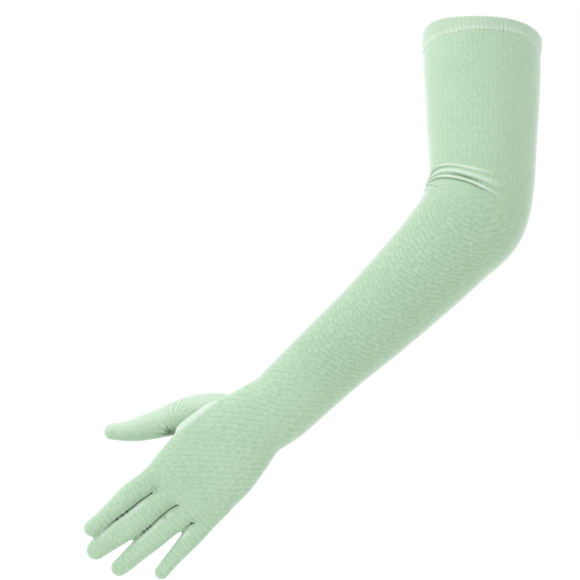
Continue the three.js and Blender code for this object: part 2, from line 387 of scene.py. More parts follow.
def bent_grid(
    bm: bmesh.types.BMesh,
    around: int,
    along: int,
    place: Callable[[int, int], Vector],
) -> list[bmesh.types.BMVert]:
    """Bends a grid into a tube whose long edges are joined.

    Args:
        bm: The mesh that the tube is added to.
        around: How many faces go round the tube.
        along: How many go along it.
        place: Gives the point of a column, from 0 to around, and a row, from 0 to along.

    Returns:
        The tube's vertices, the ones at a closed end merged.
    """
    grid = bmesh.ops.create_grid(bm, x_segments=around, y_segments=along, size=0.5)
    for vert in grid["verts"]:
        column = round((vert.co.x + 0.5) * around)
        row = round((vert.co.y + 0.5) * along)
        vert.co = place(column % around, row)
    before = set(grid["verts"])
    bmesh.ops.remove_doubles(bm, verts=grid["verts"], dist=1e-4)
    return [vert for vert in bm.verts if vert in before]


def graded(spans: Sequence[tuple[float, float]], start: float) -> list[float]:
    """Lists distances whose steps change along the way.

    Args:
        spans: Each span's end and step.
        start: The first distance.

    Returns:
        The distances, from the first one to the last span's end.
    """
    distances = [start]
    here = start
    for end, step in spans:
        if end <= here:
            continue
        count = max(1, round((end - here) / step))
        distances += [here + (end - here) * (i + 1) / count for i in range(count)]
        here = end
    return distances


def to_object(bm: bmesh.types.BMesh, name: str) -> bpy.types.Object:
    """Turns a mesh in millimetres into a smooth object in metres, and frees it.

    Args:
        bm: The mesh.
        name: The object's name.

    Returns:
        The object, which stands at the origin and is in the scene.
    """
    bmesh.ops.scale(bm, vec=(MM, MM, MM), verts=bm.verts)
    mesh = bpy.data.meshes.new(name)
    bm.to_mesh(mesh)
    bm.free()
    mesh.shade_smooth()
    made = bpy.data.objects.new(name, mesh)
    bpy.context.scene.collection.objects.link(made)
    return made


def remeshed(bm: bmesh.types.BMesh, voxel: float) -> bmesh.types.BMesh:
    """Merges closed shells into one skin of even faces.

    Args:
        bm: The shells, in millimetres. They are freed.
        voxel: The size of a face.

    Returns:
        The skin.
    """
    mesh = bpy.data.meshes.new("volume")
    bm.to_mesh(mesh)
    bm.free()
    solid = bpy.data.objects.new("volume", mesh)
    bpy.context.scene.collection.objects.link(solid)
    remesh = solid.modifiers.new("skin", "REMESH")
    remesh.mode = "VOXEL"
    remesh.voxel_size = voxel
    remesh.adaptivity = 0
    skin = bmesh.new()
    skin.from_object(solid, bpy.context.evaluated_depsgraph_get())
    bpy.data.objects.remove(solid)
    bpy.data.meshes.remove(mesh)
    return skin


def add_wall(cloth: bpy.types.Object, thickness: float) -> None:
    """Gives a skin of cloth its thickness, in millimetres, on the inside."""
    wall = cloth.modifiers.new("wall", "SOLIDIFY")
    wall.thickness = thickness * MM
    wall.offset = -1


def lay_weave(bm: bmesh.types.BMesh, place: Callable[[Vector], tuple[float, float]]) -> None:
    """Gives cloth its own coordinates in metres, u across it and v down it.

    Args:
        bm: The cloth, in millimetres.
        place: Gives the coordinates of a point, in millimetres.
    """
    layer = bm.loops.layers.uv.new("weave")
    for vert in bm.verts:
        u, v = place(vert.co)
        for loop in vert.link_loops:
            loop[layer].uv = (u * MM, v * MM)


def split_at_zero(
    bm: bmesh.types.BMesh, field: Callable[[Vector], float], near: float
) -> dict[bmesh.types.BMVert, float]:
    """Cuts a mesh's faces along the line where a field is 0.

    Args:
        bm: The mesh.
        field: The field's value at a point.
        near: How close to 0 a vertex may be and still count as on the line.

    Returns:
        The value at every vertex.
    """
    values = {vert: field(vert.co) for vert in bm.verts}
    values = {vert: 0.0 if abs(value) < near else value for vert, value in values.items()}
    crossing = [edge for edge in bm.edges if values[edge.verts[0]] * values[edge.verts[1]] < 0]
    for edge in crossing:
        first, second = edge.verts
        share = values[first] / (values[first] - values[second])
        _, middle = bmesh.utils.edge_split(edge, first, share)
        values[middle] = 0.0
    on_line = [vert for vert, value in values.items() if value == 0]
    bmesh.ops.connect_verts(bm, verts=on_line)
    return values


def keep_side(bm: bmesh.types.BMesh, values: dict[bmesh.types.BMVert, float], sign: int) -> None:
    """Deletes the faces on the other side of the line that split_at_zero has cut.

    Args:
        bm: The mesh.
        values: The field's value at every vertex.
        sign: The side that stays, 1 or -1.
    """
    gone = [face for face in bm.faces if sum(values[vert] for vert in face.verts) * sign < 0]
    bmesh.ops.delete(bm, geom=gone, context="FACES")
    loose = [vert for vert in bm.verts if not vert.link_faces]
    bmesh.ops.delete(bm, geom=loose, context="VERTS")


HEM_HEIGHT = 11.5


def hem_edge(turn: float) -> tuple[float, float]:
    """Returns how far down the limb the hem's top and bottom edges lie at a turn round it, in radians."""
    degrees = math.degrees(turn) + 180

    def bulge(middle: float, width: float) -> float:
        offset = (degrees - middle + 180) % 360 - 180
        return math.exp(-((offset / width) ** 2))

    inner, corner, outer = bulge(28, 34), bulge(2, 20), bulge(165, 30)
    return -3.4 * inner + 1.8 * outer, HEM_HEIGHT + 1.8 * inner + 3.2 * corner + 2.2 * outer


@dataclass(frozen=True)
class Finger:
    """One finger, as rows of x, z, width and depth from inside the palm to its tip."""

    rows: tuple[tuple[float, float, float, float], ...]
    boxy: tuple[float, float] = (2.6, 2.1)
    lift: float = 2.0

    SIDES = 48
    STRAIGHT_ROWS = 56
    DOME_ROWS = 12

    def add(self, bm: bmesh.types.BMesh) -> None:
        """Adds the finger's closed shell to a mesh."""
        last = len(self.rows) - 1
        spots = [hand_point(x, z, self.lift * (1 - i / last)) for i, (x, z, _, _) in enumerate(self.rows)]
        line = SmoothLine(spots)
        sizes = SmoothLine([(width, depth, 0) for _, _, width, depth in self.rows])
        dome = self.rows[-1][2] / 2
        straight = line.length - dome

        def place(column: int, row: int) -> Vector:
            ring = 1.0
            distance = straight * (row - 1) / self.STRAIGHT_ROWS
            if row == 0:
                ring, distance = 0.0, 0.0
            elif row > self.STRAIGHT_ROWS + 1:
                turn = (row - self.STRAIGHT_ROWS - 1) / self.DOME_ROWS * math.pi / 2
                ring, distance = math.cos(turn), straight + dome * math.sin(turn)
            here = frame_at(line, distance)
            if ring < 1e-6:
                return here.centre
            width, depth, _ = sizes.at(here.share)
            size = (width, depth, mix(*self.boxy, here.share))
            angle = 2 * math.pi * column / self.SIDES
            edge = oval_point(here, size, math.cos(angle), math.sin(angle), 0)
            return here.centre + (edge - here.centre) * ring

        bent_grid(bm, self.SIDES, self.STRAIGHT_ROWS + 1 + self.DOME_ROWS, place)


FINGERS = (
    # The index finger
    Finger(
        (
            (-253.2, -345.6, 17.6, 17), (-263.1, -352.2, 17.8, 17), (-271.5, -359.8, 18.2, 17),
            (-283.8, -368.5, 17.9, 16.6), (-296.5, -380.5, 16.4, 15.4), (-309, -391.8, 14.5, 13.6),
            (-321.2, -401, 12.8, 12),
        ),
    ),
    # The middle finger
    Finger(
        (
            (-236, -357.4, 18.5, 17.5), (-245.9, -364.9, 18.8, 17.5), (-260.5, -374.9, 19.8, 17.5),
            (-272.5, -384.2, 21.3, 17.2), (-285.6, -394.9, 20.2, 16.5), (-299.3, -404.7, 18.2, 15.2),
            (-309, -411.8, 16.8, 14), (-318.8, -420, 14.4, 12.5),
        ),
    ),
    # The ring finger
    Finger(
        (
            (-219, -367.6, 17.8, 16.5), (-227.2, -374.7, 18.4, 16.5), (-241.3, -385.4, 19, 16.5),
            (-253.3, -393.5, 19.2, 16.2), (-267.2, -405.6, 18, 15.4), (-280.1, -416.5, 16.6, 14.2),
            (-290.7, -426.4, 14.6, 13), (-299.5, -433, 12.8, 12),
        ),
    ),
    # The little finger
    Finger(
        (
            (-211, -377, 17.6, 14.7), (-220.3, -386.4, 17.4, 14.5), (-230.3, -397.9, 16.9, 14.2),
            (-239.8, -408.8, 15.2, 13.4), (-250.4, -420.8, 12.9, 12), (-258, -430.1, 11.9, 11.2),
            (-263.3, -436.8, 11.4, 10.6),
        ),
    ),
)


class Nearest(NamedTuple):
    """Where a point lies by a line in the view, in millimetres."""

    distance: float
    along: float
    beside: float
    length: float


@dataclass(frozen=True)
class ViewLine:
    """A line of straight stretches in the view, as points x, z."""

    points: tuple[tuple[float, float], ...]

    def nearest(self, point: Vector) -> Nearest:
        """Finds the place on the line that is nearest to a point in the view.

        Args:
            point: The point.

        Returns:
            How far off the line the point lies, how far along it, how far beside it, positive to
            the left of its way, and how long the line is.
        """
        best, here, beside, length = math.inf, 0.0, 0.0, 0.0
        for (x0, z0), (x1, z1) in zip(self.points, self.points[1:]):
            way = Vector((x1 - x0, z1 - z0))
            offset = Vector((point.x - x0, point.z - z0))
            share = min(1.0, max(0.0, offset.dot(way) / way.length_squared))
            distance = (offset - way * share).length
            if distance < best:
                best, here = distance, length + share * way.length
                beside = way.normalized().cross(offset)
            length += way.length
        return Nearest(best, here, beside, length)


@dataclass(frozen=True)
class Slit(ViewLine):
    """The sewn slit between two fingers that lie side by side, from the web outwards."""

    depth: float = 4.0
    half_width: float = 0.38
    taper: float = 3.0
    outer_taper: float = 17
    valley: float = 2.0
    valley_width: float = 3.6
    valley_taper: float = 14
    nicks: tuple[float, ...] = ()
    # How dark the painted shade in the slot is between the nicks; at the nicks it is full
    line: float = 0.8
    # How strong the painted highlight on the finger's lit side beside the slot is
    painted_lit_strip: float = 0.62

    FINE_WITHIN = 2.0
    NICK_LENGTH = 0.8
    IN_SLOT = 0.1
    STRIP_MIDDLE = 2.6
    STRIP_WIDTH = 1.7
    STRIP_FADE = 8

    def carve(self, bm: bmesh.types.BMesh, tone: bmesh.types.BMLayerItem) -> None:
        """Makes the faces along the slit finer, presses them in from the back and from the palm, and paints
        shade into the slot and a highlight beside it.

        Args:
            bm: The skin of the hand.
            tone: The layer that keeps the painted shade in the slit and the painted highlight along the
                finger's side beside it.
        """
        margin = 2.5 * self.valley_width
        xs, zs = zip(*self.points)
        left, right, low, high = min(xs) - margin, max(xs) + margin, min(zs) - margin, max(zs) + margin

        def nearby() -> list[bmesh.types.BMVert]:
            return [vert for vert in bm.verts if left < vert.co.x < right and low < vert.co.z < high]

        close = {vert for vert in nearby() if self.nearest(vert.co).distance < self.FINE_WITHIN}
        edges = [edge for edge in bm.edges if edge.verts[0] in close and edge.verts[1] in close]
        bmesh.ops.subdivide_edges(bm, edges=edges, cuts=2, use_grid_fill=True)
        bm.normal_update()
        for vert in nearby():
            distance, here, beside, length = self.nearest(vert.co)
            if distance > margin:
                continue
            on_back = vert.normal.y < 0
            ends = smoothstep(here, 0, self.taper) * (1 - smoothstep(here, length - self.outer_taper, length))
            marks = (math.exp(-(((here - mark) / self.NICK_LENGTH) ** 2)) for mark in self.nicks)
            nick = max(marks, default=0)
            slot = ends * math.exp(-((distance / (self.half_width * (1 + nick))) ** 4))
            wide = smoothstep(here, 0, self.valley_taper) * math.exp(-((distance / self.valley_width) ** 2))
            shallow = 1 - 0.55 * smoothstep(here, length - 18, length)
            press = self.depth * shallow * slot + self.valley * wide
            vert.co.y += press if on_back else -press
            # Painted shade in the slot, darkest at the nicks; on the back, a painted highlight along the lit
            # side beside it
            if slot >= self.IN_SLOT:
                vert[tone] = min(vert[tone], -slot * mix(self.line, 1, nick))
            elif on_back:
                past = math.sqrt(max(0, distance**2 - beside**2))
                painted_lit_strip = self.painted_lit_strip * smoothstep(here, 2, 14) * (1 - smoothstep(past, 0, self.STRIP_FADE))
                painted_lit_strip *= math.exp(-(((beside - self.STRIP_MIDDLE) / self.STRIP_WIDTH) ** 2))
                vert[tone] = max(vert[tone], painted_lit_strip)


SLITS = (
    Slit(
        (
            (-266, -367), (-276, -373.9), (-286.6, -382.6), (-295.9, -389.4), (-301.2, -393.5),
            (-308.5, -399.8),
        ),
        taper=1.4,
        nicks=(1.6, 26.5, 31.5, 36.5),
    ),
    Slit(
        (
            (-243.8, -377), (-248, -377.8), (-253.1, -380.8), (-260, -386.7), (-267.9, -394.2),
            (-278.4, -403.4),
        ),
        nicks=(31, 34, 37.5, 42.5),
        outer_taper=5,
        line=0.55,
    ),
    Slit(
        ((-231.4, -391.6), (-235.8, -392), (-239.1, -394.7), (-242.6, -399.3)),
        depth=2.4,
        valley=1.2,
        valley_width=2.5,
        valley_taper=2,
        nicks=(4,),
        outer_taper=7,
        line=0.4,
    ),
)


@dataclass(frozen=True)
class EdgeRoll(ViewLine):
    """The soft roll of cloth on the hand's edge above the thumb."""

    push: float = 2.8
    push_width: float = 5.5
    height: float = 0.5
    half_width: float = 2.8
    # How strong the painted highlight along the roll is
    painted_highlight: float = 0.62

    def shares(
        self, bm: bmesh.types.BMesh, width: float, reach: float, start: tuple[float, float], end: float
    ) -> Iterator[tuple[bmesh.types.BMVert, float]]:
        """Finds how strongly the roll acts near it.

        Args:
            bm: The skin.
            width: How wide the roll's effect is.
            reach: How far past the roll's end it goes across the view.
            start: How far along the roll it sets in, and how far along it is full.
            end: Over how long a stretch at the roll's end it fades.

        Yields:
            Each vertex near the roll and its share of the effect.
        """
        for vert in bm.verts:
            if vert.co.x < self.points[-1][0] - reach:
                continue
            distance, here, _, length = self.nearest(vert.co)
            if distance > 3 * width:
                continue
            ends = smoothstep(here, *start) * (1 - smoothstep(here, length - end, length))
            yield vert, ends * math.exp(-((distance / width) ** 2))

    def raise_on(self, bm: bmesh.types.BMesh, tone: bmesh.types.BMLayerItem) -> None:
        """Rolls the hand's edge out over the thumb and paints a highlight along it.

        Args:
            bm: The skin.
            tone: The layer in which the roll's painted highlight is kept.
        """
        (x0, z0), (x1, z1) = self.points[0], self.points[-1]
        outwards = Vector((z1 - z0, 0, x0 - x1)).normalized()
        for vert, share in self.shares(bm, self.push_width, 14, (0, 26), 9):
            vert.co += outwards * self.push * share
        bm.normal_update()
        for vert, share in self.shares(bm, self.half_width, 8, (4, 22), 6):
            if vert.normal.y <= 0.35:
                vert.co += vert.normal * self.height * share
                # Painted highlight along the roll
                vert[tone] = max(vert[tone], self.painted_highlight * share)


EDGE_ROLL = EdgeRoll(
    ((-203, -283.2), (-215.5, -292.7), (-223.2, -298.8), (-234.4, -308.2), (-244.4, -315.9), (-251, -320.2))
)


@dataclass
class GloveSkin:
    """The outer surface of the sleeve and hand, from which the two cloth panels are cut."""

    start: float = 11.55
    join: float = 338.0
    sides: int = 168
    voxel: float = 1.09
    hand_overlap: float = 16
    smooth_passes: int = 4
    snap_reach: float = 22
    settled: float = 45

    ARM_SPANS = ((114, 2.4), (152, 0.6), (166, 1.2))
    ARM_STEP = 2.4
    PALM_STEP = 3
    PALM_SIDES = 96
    DOME_ROWS = 8

    def palm_volume(self, bm: bmesh.types.BMesh) -> None:
        """Adds the closed volume of the wrist and palm, rounded off at the finger roots, to a mesh."""
        half_depth = SECTIONS[-1][4] / 2
        flat_end = SPINE.length - half_depth
        distances = graded(((flat_end, self.PALM_STEP),), self.join - self.hand_overlap)
        rows = len(distances)

        def place(column: int, row: int) -> Vector:
            if row == 0:
                return frame_at(SPINE, distances[0]).centre
            inset = 0.0
            if row <= rows:
                distance = distances[row - 1]
            else:
                turn = (row - rows) / self.DOME_ROWS * math.pi / 2
                distance = flat_end + half_depth * math.sin(turn)
                inset = half_depth * (1 - math.cos(turn))
            here = frame_at(SPINE, distance)
            size = SPINE_SIZES.at(here.share)
            angle = 2 * math.pi * column / self.PALM_SIDES
            return oval_point(here, size, math.cos(angle), math.sin(angle), -inset)

        verts = bent_grid(bm, self.PALM_SIDES, rows + self.DOME_ROWS, place)
        bmesh.ops.recalc_face_normals(bm, faces=list({face for vert in verts for face in vert.link_faces}))

    def hand(self) -> bmesh.types.BMesh:
        """Returns the skin of the palm and fingers, cut open at the join with the arm."""
        volume = bmesh.new()
        self.palm_volume(volume)
        for finger in FINGERS:
            finger.add(volume)
        bmesh.ops.remove_doubles(volume, verts=volume.verts, dist=1e-5)
        bmesh.ops.recalc_face_normals(volume, faces=volume.faces)
        skin = remeshed(volume, self.voxel)
        for _ in range(self.smooth_passes):
            bmesh.ops.smooth_vert(
                skin, verts=skin.verts, factor=0.5, use_axis_x=True, use_axis_y=True, use_axis_z=True
            )
        # The tone layer holds painted highlights (above 0) and painted shade (below 0)
        tone = skin.verts.layers.float.new("tone")
        for slit in SLITS:
            slit.carve(skin, tone)
        EDGE_ROLL.raise_on(skin, tone)
        cut = frame_at(SPINE, self.join)
        bmesh.ops.bisect_plane(
            skin,
            geom=list(skin.verts) + list(skin.edges) + list(skin.faces),
            dist=0.05,
            plane_co=cut.centre,
            plane_no=cut.along,
            clear_inner=True,
        )
        self.snap(skin)
        return skin

    def snap(self, skin: bmesh.types.BMesh) -> None:
        """Moves the vertices near the join on to the arm's exact section, less so further from it."""
        for vert in skin.verts:
            distance, across, palmwards = LIMB.locate(vert.co)
            share = 1 - smoothstep(distance, self.join + 4, self.join + self.snap_reach)
            if share <= 0:
                continue
            here = frame_at(SPINE, distance)
            width, depth, boxy = SPINE_SIZES.at(here.share)
            ring = (abs(2 * across / width) ** boxy + abs(2 * palmwards / depth) ** boxy) ** (1 / boxy)
            exact = here.place(across / ring, palmwards / ring)
            vert.co = vert.co.lerp(exact, share)

    def build(self) -> bmesh.types.BMesh:
        """Returns the whole surface as one mesh, open at the top, with the elbow folds in it."""
        skin = self.hand()
        hand_edges = [edge for edge in skin.edges if edge.is_boundary]
        distances = graded((*self.ARM_SPANS, (self.join - 1.5, self.ARM_STEP)), self.start)
        rows = [(here := frame_at(SPINE, distance), SPINE_SIZES.at(here.share)) for distance in distances]

        def place(column: int, row: int) -> Vector:
            here, size = rows[row]
            turn = 2 * math.pi * column / self.sides
            u, v = math.cos(turn), math.sin(turn)
            settle = 1 - smoothstep(distances[row], self.start, self.settled)
            if settle > 0:
                here = frame_at(SPINE, distances[row] + settle * (hem_edge(turn)[1] - HEM_HEIGHT))
            return oval_point(here, size, u, v, fold_at(distances[row], math.atan2(-v, -u))[0])

        arm = bent_grid(skin, self.sides, len(distances) - 1, place)
        arm_verts = set(arm)
        tone = skin.verts.layers.float["tone"]
        # Painted highlight on the elbow folds' crests and painted shade in their creases
        for vert in arm:
            distance, across, palmwards = LIMB.locate(vert.co)
            if FOLDS_START < distance < FOLDS_END:
                width, depth, _ = SPINE_SIZES.at(SPINE.share_at(distance))
                vert[tone] = fold_at(distance, math.atan2(-palmwards / depth, -across / width))[1]
        last_row = frame_at(SPINE, distances[-1])
        arm_edges = [
            edge
            for edge in skin.edges
            if edge.is_boundary
            and edge.verts[0] in arm_verts
            and abs((edge.verts[0].co - last_row.centre).dot(last_row.along)) < 0.5
        ]
        bmesh.ops.bridge_loops(skin, edges=hand_edges + arm_edges)
        bmesh.ops.recalc_face_normals(skin, faces=skin.faces)
        skin.normal_update()
        return skin


class Side(Enum):
    """The glove's two sides, by the sign of the distance palmwards of the seams."""

    BACK = -1
    PALM = 1


@dataclass
class Panel:
    """A cloth panel of the sleeve and hand, cut from the skin along the side seams."""

    name: str
    side: Side
    wall: float = 0.8

    FLAT_FROM = 300
    FLAT_TO = 360

    def weave_at(self, point: Vector) -> tuple[float, float]:
        """Returns how far across the laid-out panel and how far down it a point lies."""
        distance, across, palmwards = LIMB.locate(point)
        width, depth, _ = SPINE_SIZES.at(SPINE.share_at(distance))
        radius = (width + depth) / 4
        angle = math.atan2(across, palmwards * self.side.value)
        flatness = smoothstep(distance, self.FLAT_FROM, self.FLAT_TO)
        return mix(angle * radius, across, flatness), distance

    def build(self, skin: bmesh.types.BMesh, values: dict[int, float]) -> bpy.types.Object:
        """Cuts the panel out of the skin.

        Args:
            skin: The skin, already cut along the seams.
            values: How far palmwards of the seams each vertex lies, by its index.

        Returns:
            The panel.
        """
        bm = skin.copy()
        bm.verts.ensure_lookup_table()
        own = {vert: values[vert.index] for vert in bm.verts}
        keep_side(bm, own, self.side.value)
        lay_weave(bm, self.weave_at)
        panel = to_object(bm, self.name)
        add_wall(panel, self.wall)
        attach(panel, BODY)
        return panel


@dataclass
class HemBand:
    """The folded band round the arm opening, finely gathered."""

    name: str = "hem_band_cloth"
    proud: float = 0.9
    wall: float = 1.2
    sides: int = 560
    gathers: int = 96
    gather_depth: float = 0.42
    scallop: float = 0.6
    thinned: float = 0.6

    PROFILE = 32
    BOXY = (0.5, 0.4)
    RADIUS = 44

    def ripple(self, turn: float) -> tuple[float, float]:
        """Returns how far a gather stands out at a turn round the band, and how gathered it is there."""
        spot = Vector((math.cos(turn) * 3, math.sin(turn) * 3, 0))
        drift = noise.noise(spot)
        strength = 0.55 + 0.75 * noise.noise(spot * 1.7 + Vector((5, 2, 1)))
        return math.cos(self.gathers * turn + 7 * drift), max(0.15, strength)

    def weave_at(self, point: Vector) -> tuple[float, float]:
        """Returns how far round the band and how far down it a point lies."""
        distance, across, palmwards = LIMB.locate(point)
        return math.atan2(across, palmwards) * self.RADIUS, distance

    def build(self) -> bpy.types.Object:
        """Returns the band, a closed loop of doubled cloth."""
        bm = bmesh.new()
        half = (self.proud + self.wall) / 2
        middle = self.proud - half
        rows = []
        for i in range(self.PROFILE):
            turn = 2 * math.pi * i / self.PROFILE
            out = math.copysign(abs(math.cos(turn)) ** self.BOXY[0], math.cos(turn)) * half + middle
            down = math.copysign(abs(math.sin(turn)) ** self.BOXY[1], math.sin(turn))
            rows.append((out, down))
        columns = []
        for i in range(self.sides):
            turn = 2 * math.pi * i / self.sides
            columns.append((turn, *hem_edge(turn), *self.ripple(turn)))

        def place(column: int, row: int) -> Vector:
            out, down = rows[row % self.PROFILE]
            turn, top, bottom, ripple, strength = columns[column]
            edge = abs(down)
            wave = ripple * strength
            reach = self.gather_depth * wave * (0.35 + 0.65 * smoothstep(down, -0.6, 0.9))
            if out > middle:
                grow = out - self.thinned * smoothstep(down, -0.2, 1) + reach
            else:
                grow = out + 0.2 * reach
            distance = mix(top, bottom, (down + 1) / 2) + self.scallop * wave * edge**8 * down
            here = frame_at(SPINE, distance)
            return oval_point(here, SPINE_SIZES.at(here.share), math.cos(turn), math.sin(turn), grow)

        bent_grid(bm, self.sides, self.PROFILE, place)
        bmesh.ops.recalc_face_normals(bm, faces=bm.faces)
        tone = bm.verts.layers.float.new("tone")
        for vert in bm.verts:
            distance, across, palmwards = LIMB.locate(vert.co)
            width, depth, _ = SPINE_SIZES.at(SPINE.share_at(distance))
            turn = math.atan2(palmwards / depth, across / width)
            top, bottom = hem_edge(turn)
            ripple, strength = self.ripple(turn)
            down = (distance - top) / (bottom - top)
            # Lighter along the lower half and the top edge; painted highlight on the gathers' crests and
            # painted shade in their hollows
            rim = max(smoothstep(down, 0.5, 0.72), 0.5 * (1 - smoothstep(down, 0, 0.16)))
            vert[tone] = 0.36 * rim + 0.24 * ripple * strength * smoothstep(down, 0.2, 0.8)
        lay_weave(bm, self.weave_at)
        band = to_object(bm, self.name)
        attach(band, BODY)
        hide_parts("hem_band")
        return band


@dataclass
class Thumb:
    """The set-in thumb, a tube of cloth that ends where it meets the hand."""

    name: str = "thumb_cloth"
    wall: float = 0.8
    sides: int = 132
    step: float = 0.8
    bury: float = 0.6
    # How strong the painted highlight on the thumb's upward-facing side is
    painted_highlight: float = 0.42

    DOME_ROWS = 10
    CROTCH = Vector((-252, -24, -321))

    def gather(self, point: Vector) -> tuple[float, float]:
        """Works out the gathers that fan out from the crotch of the thumb.

        Args:
            point: A place on the thumb.

        Returns:
            How far the cloth stands out there, and its painted light: painted highlight on the gathers'
            crests, painted shade in their hollows, in the nicks and at the crotch.
        """
        offset = Vector((point.x - self.CROTCH.x, 0, point.z - self.CROTCH.z))
        reach = offset.length
        if point.y > -14 or reach > 34:
            return 0, 0
        degrees = math.degrees(math.atan2(offset.z, -offset.x))
        front = 1 - smoothstep(point.y, -20, -14)
        fan = smoothstep(degrees, 70, 84) * (1 - smoothstep(degrees, 124, 146))
        fan *= smoothstep(reach, 2, 9) * (1 - smoothstep(reach, 22, 36)) * front
        wave = math.cos(math.radians((degrees - 0.35 * reach - 8 * noise.noise(point * 0.13)) * 46))
        fan *= 0.7 + 0.9 * noise.noise(Vector((degrees * 0.09, 3.1, 0)))
        nick = (1 - smoothstep(reach, 4, 13)) * front
        nick *= smoothstep(degrees, -25, -5) * (1 - smoothstep(degrees, 62, 78))
        dip = math.cos(math.radians(degrees * 12 - 150))
        lift = 0.3 * fan * wave + 0.8 * nick * dip
        # Painted highlight and shade following the gathers, and painted shade in the nicks and at the crotch
        tone = 0.34 * fan * (wave - 0.25) + 0.7 * nick * min(dip, 0.2)
        return lift, tone - 0.5 * front * (1 - smoothstep(reach, 2, 9))

    def build(self, hand: BVHTree) -> bpy.types.Object:
        """Makes the thumb.

        Args:
            hand: The skin of the sleeve and hand, in millimetres.

        Returns:
            The thumb, cut off just inside that skin.
        """
        line = SmoothLine([row[:3] for row in THUMB_SECTIONS] + [THUMB_TIP])
        sizes = SmoothLine([row[3:] for row in THUMB_SECTIONS])
        dome = THUMB_SECTIONS[-1][4] / 2
        straight = line.length - dome
        rows = round(straight / self.step)

        def place(column: int, row: int) -> Vector:
            ring, distance = 1.0, straight * row / rows
            if row > rows:
                turn = (row - rows) / self.DOME_ROWS * math.pi / 2
                ring, distance = math.cos(turn), straight + dome * math.sin(turn)
            here = frame_at(line, distance)
            if ring < 1e-6:
                return here.centre
            size = (*sizes.at(min(1.0, distance / line.length)), 2.1)
            angle = 2 * math.pi * column / self.sides
            u, v = math.cos(angle), math.sin(angle)
            plain = oval_point(here, size, u, v, 0)
            edge = oval_point(here, size, u, v, self.gather(plain)[0])
            return here.centre + (edge - here.centre) * ring

        bm = bmesh.new()
        bent_grid(bm, self.sides, rows + self.DOME_ROWS, place)
        bmesh.ops.recalc_face_normals(bm, faces=bm.faces)
        tone = bm.verts.layers.float.new("tone")
        bm.normal_update()
        for vert in bm.verts:
            # Painted highlight on the side that faces upwards
            top_highlight = smoothstep(vert.normal.z, -0.7, 0.6)
            vert[tone] = self.gather(vert.co)[1] + self.painted_highlight * top_highlight

        def outside(point: Vector) -> float:
            nearest, normal, _, distance = hand.find_nearest(point)
            side = 1 if (point - nearest).dot(normal) > 0 else -1
            return side * distance + self.bury

        keep_side(bm, split_at_zero(bm, outside, 0.03), 1)
        x, _, z = THUMB_SECTIONS[0][:3]
        lay_weave(bm, lambda point: (point.z - z, point.x - x))
        thumb = to_object(bm, self.name)
        add_wall(thumb, self.wall)
        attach(thumb, BODY)
        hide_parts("thumb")
        return thumb


class Sock:
    """A shader socket on which maths is written as expressions."""

    def __init__(self, shader: "Shader", socket: bpy.types.NodeSocket) -> None:
        """Holds a socket and the shader it belongs to."""
        self.shader = shader
        self.socket = socket

    def _math(self, operation: str, a: "Sock | float", b: "Sock | float" = 0.0) -> "Sock":
        """Returns the result of a maths node."""
        return self.shader.node("ShaderNodeMath", {"operation": operation}, {0: a, 1: b})

    def __add__(self, other: "Sock | float") -> "Sock":
        """Returns the sum."""
        return self._math("ADD", self, other)

    __radd__ = __add__

    def __sub__(self, other: "Sock | float") -> "Sock":
        """Returns the difference."""
        return self._math("SUBTRACT", self, other)

    def __rsub__(self, other: "Sock | float") -> "Sock":
        """Returns the difference from a number."""
        return self._math("SUBTRACT", other, self)

    def __mul__(self, other: "Sock | float") -> "Sock":
        """Returns the product."""
        return self._math("MULTIPLY", self, other)

    __rmul__ = __mul__

    def __truediv__(self, other: "Sock | float") -> "Sock":
        """Returns the quotient."""
        return self._math("DIVIDE", self, other)

    def sine(self) -> "Sock":
        """Returns the sine."""
        return self._math("SINE", self)

    def abs(self) -> "Sock":
        """Returns the value without its sign."""
        return self._math("ABSOLUTE", self)

    def ramp(self, low: float, high: float) -> "Sock":
        """Returns 0 below low, 1 above high and a smooth rise between them."""
        settings = {"interpolation_type": "SMOOTHSTEP"}
        return self.shader.node("ShaderNodeMapRange", settings, {0: self, 1: low, 2: high}, "Result")


class Shader:
    """A material whose nodes are made from Python expressions."""

    def __init__(self, name: str) -> None:
        """Makes an empty material with an output."""
        self.material = bpy.data.materials.new(name)
        self.material.use_nodes = True
        self.tree = self.material.node_tree
        self.tree.nodes.clear()

    def node(
        self,
        kind: str,
        settings: dict | None = None,
        sockets: dict | None = None,
        output: str | int = 0,
    ) -> Sock:
        """Adds a node.

        Args:
            kind: The node's type.
            settings: Its settings, which are set first.
            sockets: The values or links of its input sockets, by name or number.
            output: Which of its outputs to give back.

        Returns:
            That output.
        """
        made = self.tree.nodes.new(kind)
        for key, value in (settings or {}).items():
            setattr(made, key, value)
        for key, value in (sockets or {}).items():
            if isinstance(value, Sock):
                self.tree.links.new(value.socket, made.inputs[key])
            else:
                made.inputs[key].default_value = value
        return Sock(self, made.outputs[output])

    def close(self, surface: Sock) -> bpy.types.Material:
        """Links a surface to the material's output and returns the material."""
        end = self.tree.nodes.new("ShaderNodeOutputMaterial")
        self.tree.links.new(surface.socket, end.inputs["Surface"])
        return self.material

    def blend(self, a: Sock | tuple, b: Sock | tuple, share: Sock | float) -> Sock:
        """Returns the colour that lies a share of the way from a to b."""
        settings = {"data_type": "RGBA"}
        return self.node("ShaderNodeMix", settings, {0: share, 6: a, 7: b}, 2)

    def noise(self, place: Sock, scale: float, detail: float, roughness: float) -> Sock:
        """Returns a cloudy pattern from 0 to 1 at a place."""
        sockets = {"Vector": place, "Scale": scale, "Detail": detail, "Roughness": roughness}
        return self.node("ShaderNodeTexNoise", sockets=sockets)


def paint(red: int, green: int, blue: int) -> tuple[float, float, float, float]:
    """Returns a linear colour from its three display values, from 0 to 255."""
    shares = [value / 255 for value in (red, green, blue)]
    linear = [s / 12.92 if s <= 0.04045 else ((s + 0.055) / 1.055) ** 2.4 for s in shares]
    return (*linear, 1.0)


